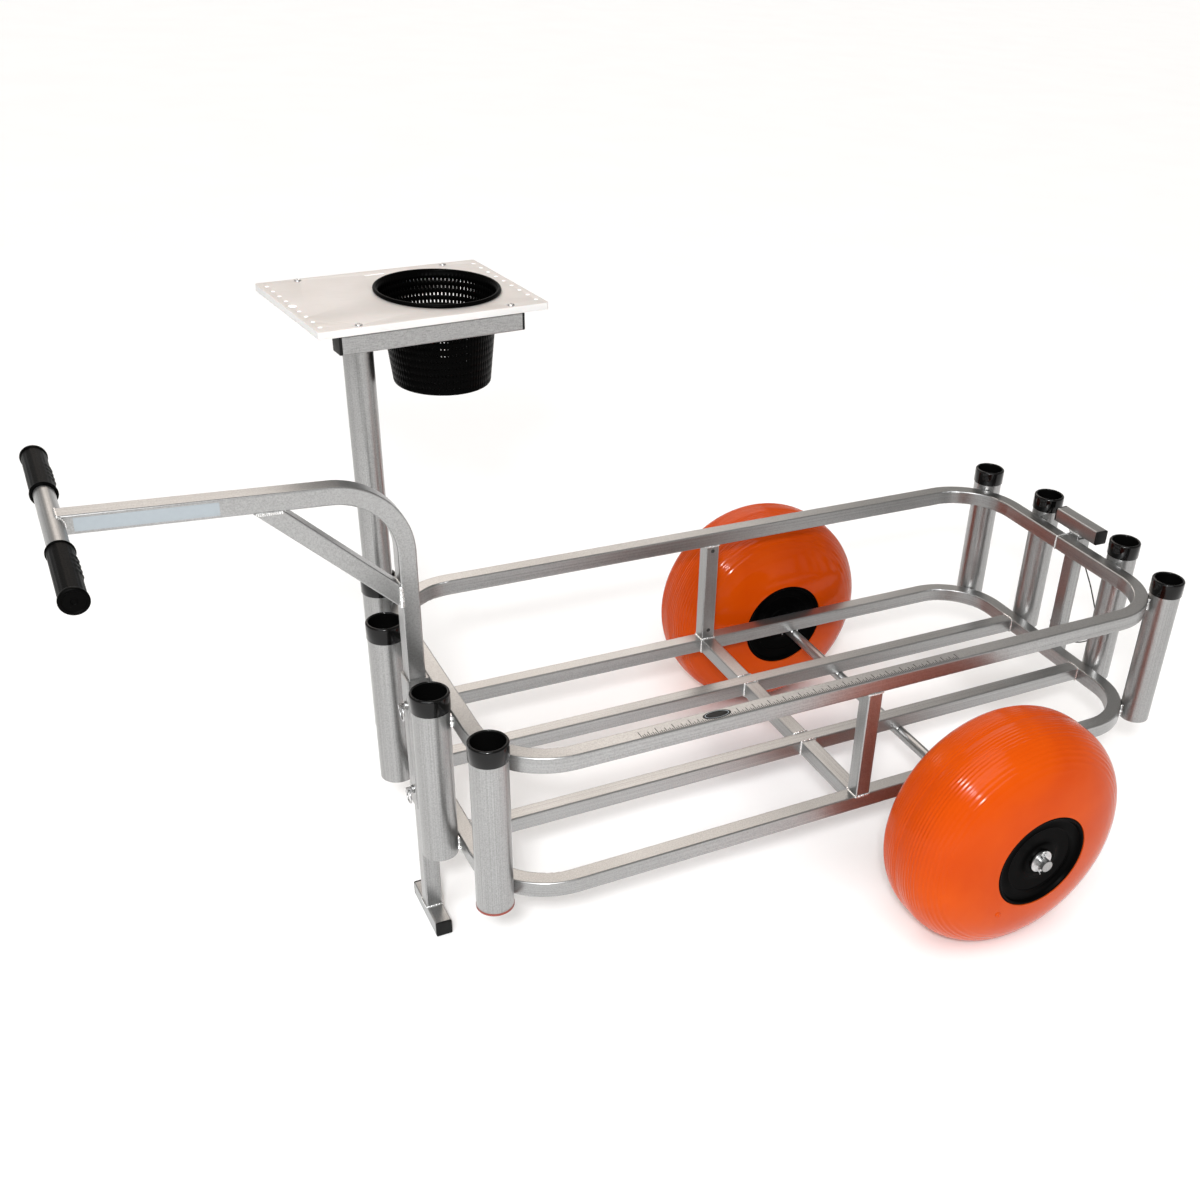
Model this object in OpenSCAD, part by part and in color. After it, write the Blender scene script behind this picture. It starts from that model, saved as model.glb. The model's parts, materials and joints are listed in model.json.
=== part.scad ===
// Beach cart: two bent square-tube loops on a through axle with balloon wheels, rod holders at
// both ends, a pull handle and a stand leg pinned into one receiver, a stowed rear stand, and a
// bait board with a lift-out basket that turns in a front rod holder.
// The handle is at the front, -X. Left is -Y, and the ground is z = 0. Lengths in millimetres.

/* [Frame] */
// Overall length of the two loops
loop_length = 1204; // [1150:1:1260]
// Overall width of the two loops
loop_width = 548; // [520:1:560]
// Height of the upper loop above the lower one
deck_rise = 214; // [200:1:240]
// Side of the square frame tube
tube = 25.4; // [24:0.1:26]
// Rounding of the tube's long edges
tube_edge = 2.5; // [1.5:0.1:4]
// Outside radius of the loops' corner bends, in plan
bend_outer = 120; // [100:1:140]
// Distance of each floor slat from the centre line
slat_y = 97; // [85:1:115]
// Place of the middle posts and cross tubes along the cart
mid_x = -6; // [-60:1:60]

/* [Rod holders] */
// Outside radius of a rod holder tube
holder_r = 26; // [25.5:0.1:27]
// Radius of a rod holder's bore
holder_bore_r = 23.2; // [22.5:0.1:24]
// Height of the holder tubes above the upper loop's top face
holder_rise = 33; // [25:1:60]
// Distance of the inner holders from the centre line
holder_inner_y = 104; // [95:1:120]
// Angle round the corner bend at which the outer holders are welded
holder_angle = 38.5; // [34:0.5:44]
// Height of the vinyl collars
collar_height = 26.6; // [18:0.1:40]

/* [Wheels] */
// Radius of the balloon tyres
wheel_r = 200; // [190:1:215]
// Half of a tyre's overall width
tyre_half = 104; // [98:1:108]
// Wall of a tyre
tyre_wall = 4; // [3:0.5:6]
// Distance of the wheels' middle planes from the centre line
wheel_y = 392; // [390:1:420]
// Radius of the plastic hub
hub_r = 82; // [75:1:90]
// Radius of the axle rod
axle_r = 9.5; // [9:0.1:10]
// Half of the axle's length
axle_half = 505; // [505:1:530]
// Place of the axle along the cart
axle_x = 184; // [120:1:240]

/* [Handle] */
// Height of the cross bar's centre above the ground
grip_z = 756; // [740:1:765]
// Distance of the cross bar ahead of the receiver
handle_reach = 408; // [380:1:440]
// Upward slope of the handle's long arm, in degrees
handle_slope = 2.3; // [0.5:0.1:4]
// Centre-line radius of the handle's bend
handle_bend_r = 95; // [85:1:105]
// Height at which the brace's centre line meets the upright
brace_z = 583; // [570:1:600]
// Radius of the round cross bar
crossbar_r = 12.5; // [12:0.1:12.6]
// Full length over both grips
crossbar_len = 412; // [390:1:440]
// Length of one grip
grip_len = 124; // [110:1:135]
// Outside radius of a grip
grip_r = 14.9; // [14.5:0.1:16]

/* [Stands] */
// Length of each stand's foot bar, over its plugs
foot_len = 114; // [100:1:130]
// Wall of the receiver's square sleeve
sleeve_wall = 3.2; // [2.5:0.1:4]

/* [Bait board] */
// Length of the board
board_len = 332; // [325:1:345]
// Width of the board
board_wid = 235; // [232:1:245]
// Thickness of the board
board_thick = 9.5; // [8:0.1:14]
// Height of the board's top face above the ground
board_z = 913; // [905:0.1:930]
// Turn of the board about its post at rest, in degrees
board_yaw = 7; // [-10:1:15]
// Distance of the board's middle behind the post, along the board
post_back = 69; // [66:1:74]
// Distance of the board's middle to the side of the post
post_side = 8; // [0:1:10]
// Radius of the board's post
post_r = 21.2; // [20:0.1:22]
// Distance of the basket's middle behind the board's middle
basket_back = 50; // [46:1:54]
// Outside radius of the basket's rim
basket_rim_r = 89; // [88.5:0.5:92]
// Depth of the basket below the board's top face
basket_depth = 131; // [110:1:136]

/* [Hidden] */
$fn = 64;

// Levels
low_z = wheel_r + axle_r;
high_z = low_z + deck_rise;
deck_top = high_z + tube;
holder_top = deck_top + holder_rise;
stop_height = 4;
stop_r = holder_bore_r + 0.4;

// Loop rails
rail_x = loop_length / 2 - tube / 2;
rail_y = loop_width / 2 - tube / 2;
bend_r = bend_outer - tube / 2;

// Rod holders, as [x side, y side, x, y]
corner_x = loop_length / 2 - bend_outer + (bend_outer + holder_r) * cos(holder_angle);
corner_y = loop_width / 2 - bend_outer + (bend_outer + holder_r) * sin(holder_angle);
inner_x = loop_length / 2 + holder_r;
front_holders = [for (s = [-1, 1]) each [[-corner_x, s * corner_y], [-inner_x, s * holder_inner_y]]];
rear_holders = [for (s = [-1, 1]) each [[corner_x, s * corner_y], [inner_x, s * holder_inner_y]]];

// Vinyl collars
collar_r = holder_r + 1.6;
collar_lip = 2.4;
collar_round = 3;
collar_mouth_r = holder_bore_r + 0.2;

// Receiver and sleeves
sleeve = tube + 2 * sleeve_wall;
post_x = loop_length / 2 + sleeve / 2;
receiver_z = low_z + 14;
leg_top = 320;
handle_bottom = 332;
plug_head = 4;

// Handle bend and arm
arm_run = (handle_reach - handle_bend_r * (1 - sin(handle_slope))) / cos(handle_slope);
bend_z = grip_z - arm_run * sin(handle_slope) - handle_bend_r * cos(handle_slope);
bend_x = -post_x - handle_bend_r;
brace_angle = 46;
arm_cope = 5;
arm_root = 0.2;

// Wheels, with the middle plane at 0 and the outer face positive
tyre_power = 2.7;
tyre_steps = 28;
hub_half = 100;
hub_wall = 4;
hub_plate = 88;
boss_r = 24;
boss_half = 94;
bush_r = 14;
bush_flange = 2;
bush_len = 34;
running_gap = 0.1;
valve_ring_r = 107;
valve_r = 4.5;
valve_angle = 53;
washer_thick = 2.5;
washer_r = 19;
cotter_r = 1.8;

// Pins
pin_r = 4;
rear_pin_r = 3;
pin_upper_z = 400;
pin_lower_z = 251;
rear_pin_z = 258;
pin_flange = 2.5;
pin_gap = 0.3;
tab_len = 8;
tab_thick = 5;
tab_hole_r = 1.9;
ring_r = 11;
ring_wire_r = 1.2;

// Bait board
rail_len = 268;
rail_inset = 1.5;
rail_back = -5.5;
board_rail_y = board_wid / 2 - rail_inset - tube / 2;
board_rail_z = board_z - board_thick - tube;
screw_x = 110;
screw_back = 1.5;
screw_y = board_rail_y + 5;
screw_r = 2.5;
screw_head_r = 5;
screw_len = 22;
basket_side = -5;
basket_top_r = basket_rim_r - 4.5;
basket_base_r = basket_rim_r - 19.5;
basket_wall = 2;
basket_rim = 6;
edge_holes = 4;
edge_hole_r = 3;
edge_hole_pitch = 24.3;
edge_hole_inset = 10;

// Lanyard from the rear stand's tube, round behind a rod holder, to the rear pin's tab
cord_r = 1.2;
cord_sides = 8;
cord_route = [
    [618, -13, 420], [620, -17, 414], [623, -24, 402], [627, -33, 384], [632, -42, 364],
    [636, -50, 344], [640, -57, 324], [643, -64, 305], [646, -69, 286], [646, -69, 270],
    [643, -63, 257], [638, -54, 248], [632, -44, 242], [626, -34, 240], [621, -26, 242],
    [618.5, -22, 247], [618, -21, 252.8]
];

// Middle of the bounding box, moved to x = 0
front_end = post_x + handle_reach + grip_r + 2;
rear_end = inner_x + collar_r;
shift_x = (front_end - rear_end) / 2;

alu = [0.72, 0.73, 0.74];
steel = [0.80, 0.80, 0.82];
vinyl = [0.04, 0.04, 0.04];
orange = [0.95, 0.30, 0.05];

module cart_frame() {
    translate([shift_x, 0, 0]) children();
}

// Square tube section with rounded edges, centred
module tube_section(side = tube) {
    flat = side - 2 * tube_edge;
    square([side, flat], center = true);
    square([flat, side], center = true);
    for (x = [-1, 1], y = [-1, 1])
        translate([x * flat / 2, y * flat / 2]) circle(r = tube_edge);
}

module bar_z(length, side = tube) {
    linear_extrude(height = length) tube_section(side);
}

module bar_x(length) {
    translate([-length / 2, 0, 0]) rotate([90, 0, 90]) bar_z(length);
}

module bar_y(length) {
    translate([0, length / 2, 0]) rotate([90, 0, 0]) bar_z(length);
}

module tube_loop() {
    long_run = loop_length - 2 * bend_outer;
    short_run = loop_width - 2 * bend_outer;
    for (s = [-1, 1]) {
        translate([0, s * rail_y, 0]) bar_x(long_run);
        translate([s * rail_x, 0, 0]) bar_y(short_run);
    }
    for (x = [0, 1], y = [0, 1])
        mirror([x, 0, 0]) mirror([0, y, 0])
            translate([long_run / 2, short_run / 2, 0])
                rotate_extrude(angle = 90, $fn = 96)
                    translate([bend_r, 0]) tube_section();
}

module lower_loop() {
    color(alu) cart_frame() translate([0, 0, low_z + tube / 2]) tube_loop();
}

module upper_loop() {
    color(alu) cart_frame() translate([0, 0, high_z + tube / 2]) tube_loop();
}

module floor_slat(side) {
    color(alu) cart_frame()
        translate([0, side * slat_y, low_z + tube / 2]) bar_x(loop_length - 2 * tube);
}

module cross_tube(from_y, to_y) {
    color(alu) cart_frame()
        translate([mid_x, (from_y + to_y) / 2, low_z + tube / 2]) bar_y(to_y - from_y);
}

module mid_post(side) {
    color(alu) cart_frame()
        translate([mid_x, side * rail_y, low_z + tube]) bar_z(deck_rise - tube);
}

module rod_holder(place) {
    color(alu) cart_frame() translate([place.x, place.y, low_z])
        difference() {
            cylinder(r = holder_r, h = holder_top - low_z);
            translate([0, 0, stop_height]) cylinder(r = holder_bore_r, h = holder_top - low_z);
            translate([0, 0, -1]) cylinder(r = stop_r, h = stop_height + 1);
        }
}

// Vinyl collar: a sleeve round the holder's top with a lip over its end
module collar() {
    rotate_extrude() {
        translate([holder_r, 0])
            square([collar_r - holder_r, collar_height - collar_round]);
        translate([collar_mouth_r, collar_height - collar_lip])
            square([collar_r - collar_round - collar_mouth_r, collar_lip]);
        intersection() {
            translate([collar_r - collar_round, collar_height - collar_round])
                circle(r = collar_round);
            translate([collar_r - collar_round, collar_height - collar_round])
                square(collar_round);
        }
    }
}

module collars(places) {
    color(vinyl) cart_frame() for (p = places)
        translate([p.x, p.y, holder_top + collar_lip - collar_height]) difference() {
            collar();
            cylinder(r = holder_r, h = collar_height - collar_lip);
        }
}

// Rings in a shallow seat at each holder's lower end, which stop the butt of a rod
module holder_stops() {
    color(vinyl) cart_frame() for (p = concat(front_holders, rear_holders))
        translate([p.x, p.y, low_z]) difference() {
            cylinder(r = stop_r, h = stop_height);
            translate([0, 0, -1]) cylinder(r = 13, h = stop_height + 2);
        }
}

module sleeve_tube(length) {
    difference() {
        linear_extrude(height = length) tube_section(sleeve);
        translate([0, 0, -1]) linear_extrude(height = length + 2) tube_section();
    }
}

// Hole along X through a tube that stands on the origin
module cross_hole(z, radius) {
    translate([0, 0, z]) rotate([0, 90, 0]) cylinder(r = radius, h = 2 * sleeve, center = true);
}

module front_receiver() {
    color(alu) cart_frame() translate([-post_x, 0, 0]) difference() {
        translate([0, 0, receiver_z]) sleeve_tube(deck_top - receiver_z);
        cross_hole(pin_upper_z, pin_r + running_gap);
        cross_hole(pin_lower_z, pin_r + running_gap);
    }
}

module rear_sleeves() {
    color(alu) cart_frame() for (z = [low_z, high_z])
        translate([post_x, 0, z]) sleeve_tube(tube);
}

module along_y() {
    rotate([-90, 0, 0]) children();
}

module axle() {
    color(steel) cart_frame() translate([axle_x, 0, wheel_r]) difference() {
        along_y() cylinder(r = axle_r, h = 2 * axle_half, center = true);
        for (s = [-1, 1], w = [-1, 1])
            translate([0, s * (wheel_y + w * cotter_offset()), 0])
                cylinder(r = cotter_r, h = 3 * axle_r, center = true);
    }
}

// Distance of a cotter pin from the wheel's middle plane
function cotter_offset() = boss_half + bush_flange + 0.5 + washer_thick + cotter_r + 0.4;

module axle_washers() {
    offset_y = boss_half + bush_flange + 0.5 + washer_thick / 2;
    color(steel) cart_frame() translate([axle_x, 0, wheel_r])
        for (s = [-1, 1], w = [-1, 1])
            translate([0, s * (wheel_y + w * offset_y), 0]) along_y() difference() {
                cylinder(r = washer_r, h = washer_thick, center = true);
                cylinder(r = axle_r, h = 2 * washer_thick, center = true);
            }
}

// Cotter pins: a shank through the axle with a round eye on top
module cotter_pins() {
    eye_r = 4;
    color(steel) cart_frame() translate([axle_x, 0, wheel_r])
        for (s = [-1, 1], w = [-1, 1])
            translate([0, s * (wheel_y + w * cotter_offset()), 0]) {
                translate([0, 0, -axle_r - 7]) cylinder(r = cotter_r, h = 2 * axle_r + 7 + 3);
                translate([0, 0, axle_r + 3 + eye_r]) along_y()
                    rotate_extrude($fn = 32) translate([eye_r, 0]) circle(r = 1.5, $fn = 24);
            }
}

// Half width of the tyre's balloon shape at a radius, for a wall moved in by inset
function balloon(r, inset) =
    (tyre_half - inset) * pow(1 - pow(r / (wheel_r - inset), tyre_power), 1 / tyre_power);

function balloon_side(inset) = [for (i = [0:tyre_steps])
    let (r = hub_r + (wheel_r - inset - hub_r) * sin(90 * i / tyre_steps))
    [r, i == tyre_steps ? 0 : balloon(r, inset)]];

function mirrored(points) = [for (i = [len(points) - 2:-1:0]) [points[i].x, -points[i].y]];

module tyre() {
    outer = balloon_side(0);
    inner = balloon_side(tyre_wall);
    rotate_extrude($fn = 128) difference() {
        polygon(concat(outer, mirrored(outer)));
        polygon(concat(inner, mirrored(inner)));
    }
}

module valve_place() {
    rotate([0, 0, valve_angle]) translate([-valve_ring_r, 0, 0]) children();
}

// Wheel parts are drawn about Z with the outer face up, then laid on the axle
module on_axle(side) {
    cart_frame() translate([axle_x, side * wheel_y, wheel_r])
        rotate([side < 0 ? 90 : -90, 0, 0]) mirror([0, side < 0 ? 0 : 1, 0]) children();
}

module tyre_on(side) {
    color(orange) on_axle(side) difference() {
        tyre();
        valve_place() cylinder(r = valve_r, h = tyre_half + 1);
    }
}

module valve_on(side) {
    proud = 2;
    base = balloon(valve_ring_r, tyre_wall) - 1;
    color(orange) on_axle(side) valve_place()
        translate([0, 0, base]) cylinder(r = valve_r, h = balloon(valve_ring_r, 0) + proud - base);
}

// One half of the hub: a drum with a recessed plate and a boss, open at the wheel's middle
module hub_half_shape() {
    rotate_extrude($fn = 96) {
        translate([hub_r - hub_wall, 0]) square([hub_wall, hub_half]);
        translate([bush_r, hub_plate - hub_wall]) square([hub_r - bush_r - 1, hub_wall]);
        translate([bush_r, 0]) square([hub_wall, boss_half]);
        translate([bush_r, hub_plate - hub_wall]) square([boss_r - bush_r, boss_half - hub_plate + hub_wall]);
    }
}

module hub_half_on(side, face) {
    color(vinyl) on_axle(side) mirror([0, 0, face < 0 ? 1 : 0]) hub_half_shape();
}

module bushes_on(side) {
    color([0.9, 0.9, 0.88]) on_axle(side) for (m = [0, 1]) mirror([0, 0, m]) difference() {
        union() {
            translate([0, 0, boss_half - bush_len]) cylinder(r = bush_r, h = bush_len);
            translate([0, 0, boss_half]) cylinder(r = bush_r + 4, h = bush_flange);
        }
        translate([0, 0, boss_half - bush_len - 1])
            cylinder(r = axle_r + running_gap, h = bush_len + bush_flange + 2);
    }
}

// Handle: an upright, a bend and a long arm coped round the cross bar
module handle_tube() {
    color(alu) cart_frame() difference() {
        union() {
            translate([-post_x, 0, handle_bottom]) bar_z(bend_z - handle_bottom);
            translate([bend_x, 0, bend_z]) rotate([90, 0, 0]) {
                rotate_extrude(angle = 90 - handle_slope, $fn = 96)
                    translate([handle_bend_r, 0]) tube_section();
                rotate([0, 0, 90 - handle_slope]) translate([handle_bend_r, -arm_root, 0])
                    rotate([-90, 0, 0]) bar_z(arm_run + arm_root - arm_cope, tube - 0.02);
            }
        }
        crossbar_bore(crossbar_r);
        translate([-post_x, 0, 0]) cross_hole(pin_upper_z, pin_r + running_gap);
    }
}

module crossbar_bore(radius) {
    translate([-post_x - handle_reach, 0, grip_z]) along_y()
        cylinder(r = radius, h = crossbar_len - 6, center = true);
}

module handle_crossbar() {
    color(alu) cart_frame() crossbar_bore(crossbar_r);
}

// Brace cut off flat against the upright and against the arm's under side
module handle_brace() {
    reach = 260;
    color(alu) cart_frame() difference() {
        translate([-post_x - tube / 2, 0, brace_z]) rotate([0, -brace_angle, 0])
            translate([0, 0, -30]) bar_z(reach);
        translate([-post_x - tube / 2, -tube, brace_z - 100]) cube([reach, 2 * tube, 2 * reach]);
        translate([-post_x - handle_reach, 0, grip_z]) rotate([0, handle_slope, 0])
            translate([0, -tube, -tube / 2]) cube([2 * reach, 2 * tube, reach]);
    }
}

module grip(side) {
    cap = 3;
    flange = 2;
    color(vinyl) cart_frame() translate([-post_x - handle_reach, 0, grip_z])
        rotate([side < 0 ? 90 : -90, 0, 0]) translate([0, 0, crossbar_len / 2 - grip_len])
            difference() {
                union() {
                    cylinder(r = grip_r, h = grip_len);
                    translate([0, 0, grip_len - 5]) cylinder(r = grip_r + flange, h = 5);
                }
                translate([0, 0, -1]) cylinder(r = crossbar_r, h = grip_len - cap + 1);
            }
}

module stand_leg() {
    color(alu) cart_frame() translate([-post_x, 0, 0]) difference() {
        translate([0, 0, tube]) bar_z(leg_top - tube);
        cross_hole(pin_lower_z, pin_r + running_gap);
    }
}

module foot_plugs() {
    for (s = [-1, 1])
        translate([0, s * (foot_len - plug_head) / 2, 0]) bar_y(plug_head);
}

module stand_foot() {
    color(alu) cart_frame() translate([-post_x, 0, tube / 2]) bar_y(foot_len - 2 * plug_head);
}

module stand_foot_plugs() {
    color(vinyl) cart_frame() translate([-post_x, 0, tube / 2]) foot_plugs();
}

// The rear stand is stowed upside down, with its foot bar above the upper loop
rear_foot_z = deck_top + 7;

module rear_stand_tube() {
    color(alu) cart_frame() translate([post_x, 0, 0]) difference() {
        translate([0, 0, low_z]) bar_z(rear_foot_z - low_z);
        rotate([0, 0, 90]) cross_hole(rear_pin_z, rear_pin_r + running_gap);
    }
}

module rear_stand_foot() {
    color(alu) cart_frame() translate([post_x, 0, rear_foot_z + tube / 2])
        bar_y(foot_len - 2 * plug_head);
}

module rear_stand_plugs() {
    color(vinyl) cart_frame() translate([post_x, 0, rear_foot_z + tube / 2]) foot_plugs();
}

// Pull pin drawn along +X, with the flange's back face at x = 0 and the tab towards -X
module pull_pin(radius, length, flange_r) {
    rotate([0, 90, 0]) cylinder(r = radius, h = length);
    translate([-pin_flange, 0, 0]) rotate([0, 90, 0]) cylinder(r = flange_r, h = pin_flange);
    translate([-pin_flange - tab_len / 2, 0, 0]) difference() {
        cube([tab_len, tab_thick, tab_len], center = true);
        along_y() cylinder(r = tab_hole_r, h = 2 * tab_thick, center = true);
    }
}

module receiver_pin(z) {
    color(steel) cart_frame()
        translate([-post_x - sleeve / 2 - pin_gap, 0, z]) pull_pin(pin_r, sleeve + 6, 6.5);
}

module pin_ring(z) {
    hole_x = -post_x - sleeve / 2 - pin_gap - pin_flange - tab_len / 2;
    color(steel) cart_frame() translate([hole_x, 0, z - ring_r]) rotate([0, 90, 0])
        rotate_extrude($fn = 64) translate([ring_r, 0]) circle(r = ring_wire_r, $fn = 24);
}

module rear_pin() {
    color(steel) cart_frame() translate([post_x, -tube / 2 - pin_gap, rear_pin_z])
        rotate([0, 0, 90]) pull_pin(rear_pin_r, tube + 10, 4.5);
}

// A round cord swept along its route
function unit(v) = v / norm(v);
function way(p, i) = unit(p[min(i + 1, len(p) - 1)] - p[max(i - 1, 0)]);

module cord(route, radius, sides) {
    rings = [for (i = [0:len(route) - 1])
        let (t = way(route, i), u = unit(cross(t, [1, 0, 0.2])), v = cross(t, u))
        for (k = [0:sides - 1])
            let (a = 360 * k / sides) route[i] + radius * (cos(a) * u + sin(a) * v)];
    last = sides * (len(route) - 1);
    sides_faces = [for (i = [0:len(route) - 2], k = [0:sides - 1])
        let (n = (k + 1) % sides)
        [i * sides + k, i * sides + n, (i + 1) * sides + n, (i + 1) * sides + k]];
    ends = [[for (k = [sides - 1:-1:0]) k], [for (k = [0:sides - 1]) last + k]];
    polyhedron(points = rings, faces = concat(sides_faces, ends), convexity = 4);
}

module lanyard() {
    color(vinyl) cart_frame() cord(cord_route, cord_r, cord_sides);
}

// Bait board parts are drawn about the board's middle, in its own plane
module board_place() {
    cart_frame() translate([-corner_x, corner_y, 0]) rotate([0, 0, board_yaw])
        translate([post_back, -post_side, 0]) children();
}

module at_screws() {
    for (x = [-1, 1], y = [-1, 1])
        translate([screw_back + x * screw_x, y * screw_y, board_z]) children();
}

module bait_post() {
    foot_z = low_z + stop_height;
    color(alu) cart_frame()
        translate([-corner_x, corner_y, foot_z]) cylinder(r = post_r, h = board_rail_z - foot_z);
}

module board_frame() {
    bar_len = rail_len - 2 * plug_head;
    color(alu) board_place() difference() {
        translate([0, 0, board_rail_z + tube / 2]) {
            for (s = [-1, 1]) translate([rail_back, s * board_rail_y, 0]) bar_x(bar_len);
            translate([-post_back, 0, 0]) bar_y(2 * board_rail_y);
        }
        at_screws() translate([0, 0, -screw_len]) cylinder(r = screw_r, h = screw_len);
    }
}

module board_frame_plugs() {
    color(vinyl) board_place() translate([0, 0, board_rail_z + tube / 2])
        for (x = [-1, 1], y = [-1, 1])
            translate([rail_back + x * (rail_len - plug_head) / 2, y * board_rail_y, 0])
                bar_x(plug_head);
}

module board_outline() {
    corner = 4;
    square([board_len, board_wid - 2 * corner], center = true);
    square([board_len - 2 * corner, board_wid], center = true);
    for (x = [-1, 1], y = [-1, 1])
        translate([x * (board_len / 2 - corner), y * (board_wid / 2 - corner)]) circle(r = corner);
}

// White board with the basket's hole, tool holes along both short edges and a knife slot
module bait_board() {
    slot = [30, 4];
    color([0.93, 0.91, 0.88]) board_place() translate([0, 0, board_z - board_thick])
        difference() {
            linear_extrude(height = board_thick) board_outline();
            translate([0, 0, -1]) linear_extrude(height = board_thick + 2) {
                translate([basket_back, basket_side]) circle(r = basket_top_r + 1.5, $fn = 128);
                for (x = [-1, 1], i = [-edge_holes : edge_holes])
                    translate([x * (board_len / 2 - edge_hole_inset), i * edge_hole_pitch])
                        circle(r = x < 0 && i == 0 ? 2 * edge_hole_r : edge_hole_r, $fn = 32);
                translate([0, board_wid / 2 - 2 * edge_hole_inset]) square(slot, center = true);
            }
            translate([0, 0, board_thick - board_z]) at_screws()
                translate([0, 0, -screw_len]) cylinder(r = screw_r, h = screw_len + 1);
        }
}

module board_screws() {
    color(steel) board_place() at_screws() {
        translate([0, 0, -screw_len]) cylinder(r = screw_r, h = screw_len);
        cylinder(r = screw_head_r, h = 2.5);
    }
}

module basket() {
    color(vinyl) board_place() translate([basket_back, basket_side, board_z])
        rotate_extrude($fn = 96) polygon([
            [0, -basket_depth], [basket_base_r, -basket_depth],
            [basket_top_r, 0.3], [basket_rim_r, 0.3], [basket_rim_r, basket_rim],
            [basket_top_r - basket_wall, basket_rim],
            [basket_base_r - basket_wall, basket_wall - basket_depth],
            [0, basket_wall - basket_depth]
        ]);
}

lower_loop();
upper_loop();
floor_slat(-1);  // floor_slat_left
floor_slat(1);  // floor_slat_right
cross_tube(tube - loop_width / 2, -slat_y - tube / 2);  // cross_tube_left
cross_tube(tube / 2 - slat_y, slat_y - tube / 2);  // cross_tube_middle
cross_tube(slat_y + tube / 2, loop_width / 2 - tube);  // cross_tube_right
mid_post(-1);  // mid_post_left
mid_post(1);  // mid_post_right
rod_holder(front_holders[0]);  // rod_holder_front_left_outer
rod_holder(front_holders[1]);  // rod_holder_front_left_inner
rod_holder(front_holders[2]);  // rod_holder_front_right_outer
rod_holder(front_holders[3]);  // rod_holder_front_right_inner
rod_holder(rear_holders[0]);  // rod_holder_rear_left_outer
rod_holder(rear_holders[1]);  // rod_holder_rear_left_inner
rod_holder(rear_holders[2]);  // rod_holder_rear_right_outer
rod_holder(rear_holders[3]);  // rod_holder_rear_right_inner
collars(front_holders);  // front_collars
collars(rear_holders);  // rear_collars
holder_stops();
front_receiver();
rear_sleeves();
axle();
axle_washers();
cotter_pins();
tyre_on(-1);  // tyre_left
hub_half_on(-1, 1);  // hub_left_outer
hub_half_on(-1, -1);  // hub_left_inner
bushes_on(-1);  // bushes_left
valve_on(-1);  // valve_left
tyre_on(1);  // tyre_right
hub_half_on(1, 1);  // hub_right_outer
hub_half_on(1, -1);  // hub_right_inner
bushes_on(1);  // bushes_right
valve_on(1);  // valve_right
handle_tube();
handle_brace();
handle_crossbar();
grip(-1);  // grip_left
grip(1);  // grip_right
stand_leg();
stand_foot();
stand_foot_plugs();
rear_stand_tube();
rear_stand_foot();
rear_stand_plugs();
rear_pin();
lanyard();
receiver_pin(pin_upper_z);  // receiver_pin_upper
receiver_pin(pin_lower_z);  // receiver_pin_lower
pin_ring(pin_upper_z);  // pin_ring_upper
pin_ring(pin_lower_z);  // pin_ring_lower
bait_post();
board_frame();
board_frame_plugs();
bait_board();
board_screws();
basket();
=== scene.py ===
"""Beach cart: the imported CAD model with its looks, in metres, handle towards -X and the ground at z = 0."""

import json
import math
import random

import bmesh
import bpy
from mathutils import Matrix, Vector

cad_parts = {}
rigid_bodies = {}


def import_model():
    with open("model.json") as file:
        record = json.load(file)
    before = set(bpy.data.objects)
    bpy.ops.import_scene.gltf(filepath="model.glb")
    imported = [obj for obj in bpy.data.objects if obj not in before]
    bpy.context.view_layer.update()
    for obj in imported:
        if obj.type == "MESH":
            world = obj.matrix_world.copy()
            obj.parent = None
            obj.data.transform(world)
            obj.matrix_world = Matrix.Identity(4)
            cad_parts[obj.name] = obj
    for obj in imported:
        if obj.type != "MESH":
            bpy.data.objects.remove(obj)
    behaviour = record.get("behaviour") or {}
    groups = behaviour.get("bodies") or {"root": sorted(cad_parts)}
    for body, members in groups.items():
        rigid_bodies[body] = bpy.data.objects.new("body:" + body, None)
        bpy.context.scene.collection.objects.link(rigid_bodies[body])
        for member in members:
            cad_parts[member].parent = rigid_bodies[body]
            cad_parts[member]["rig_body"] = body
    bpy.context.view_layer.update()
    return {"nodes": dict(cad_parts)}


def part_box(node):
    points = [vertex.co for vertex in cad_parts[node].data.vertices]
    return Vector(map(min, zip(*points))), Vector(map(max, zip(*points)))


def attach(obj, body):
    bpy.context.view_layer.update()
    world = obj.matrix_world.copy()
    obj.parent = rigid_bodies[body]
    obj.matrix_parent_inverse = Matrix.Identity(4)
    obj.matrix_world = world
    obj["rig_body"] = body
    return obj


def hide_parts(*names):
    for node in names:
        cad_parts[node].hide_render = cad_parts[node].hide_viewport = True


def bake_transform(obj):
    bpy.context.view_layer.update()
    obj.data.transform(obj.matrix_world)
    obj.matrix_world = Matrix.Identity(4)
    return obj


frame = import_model()
nodes = frame["nodes"]
rng = random.Random(7)

TUBE = 0.0254
BEND_R = 0.120
LOOP_LO, LOOP_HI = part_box("lower_loop")
DECK_LO, DECK_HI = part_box("upper_loop")
MIDDLE_X = (LOOP_LO.x + LOOP_HI.x) / 2


def middle(node):
    """The centre of a node's box."""
    low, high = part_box(node)
    return (low + high) / 2


# ---------------------------------------------------------------- camera


def make_camera():
    """The photo's view, from above the cart's front left corner."""
    data = bpy.data.cameras.new("camera")
    data.sensor_width = 36
    data.lens = 40.37
    data.shift_x = -0.1318
    data.shift_y = 0.0785
    data.clip_end = 60
    camera = bpy.data.objects.new("camera", data)
    camera.location = (MIDDLE_X - 1.05276, -1.62054, 1.48656)
    camera.rotation_euler = [math.radians(a) for a in (57.4033, -4.0209, -29.3823)]
    bpy.context.scene.collection.objects.link(camera)
    bpy.context.scene.camera = camera


make_camera()


# ---------------------------------------------------------------- materials


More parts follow.
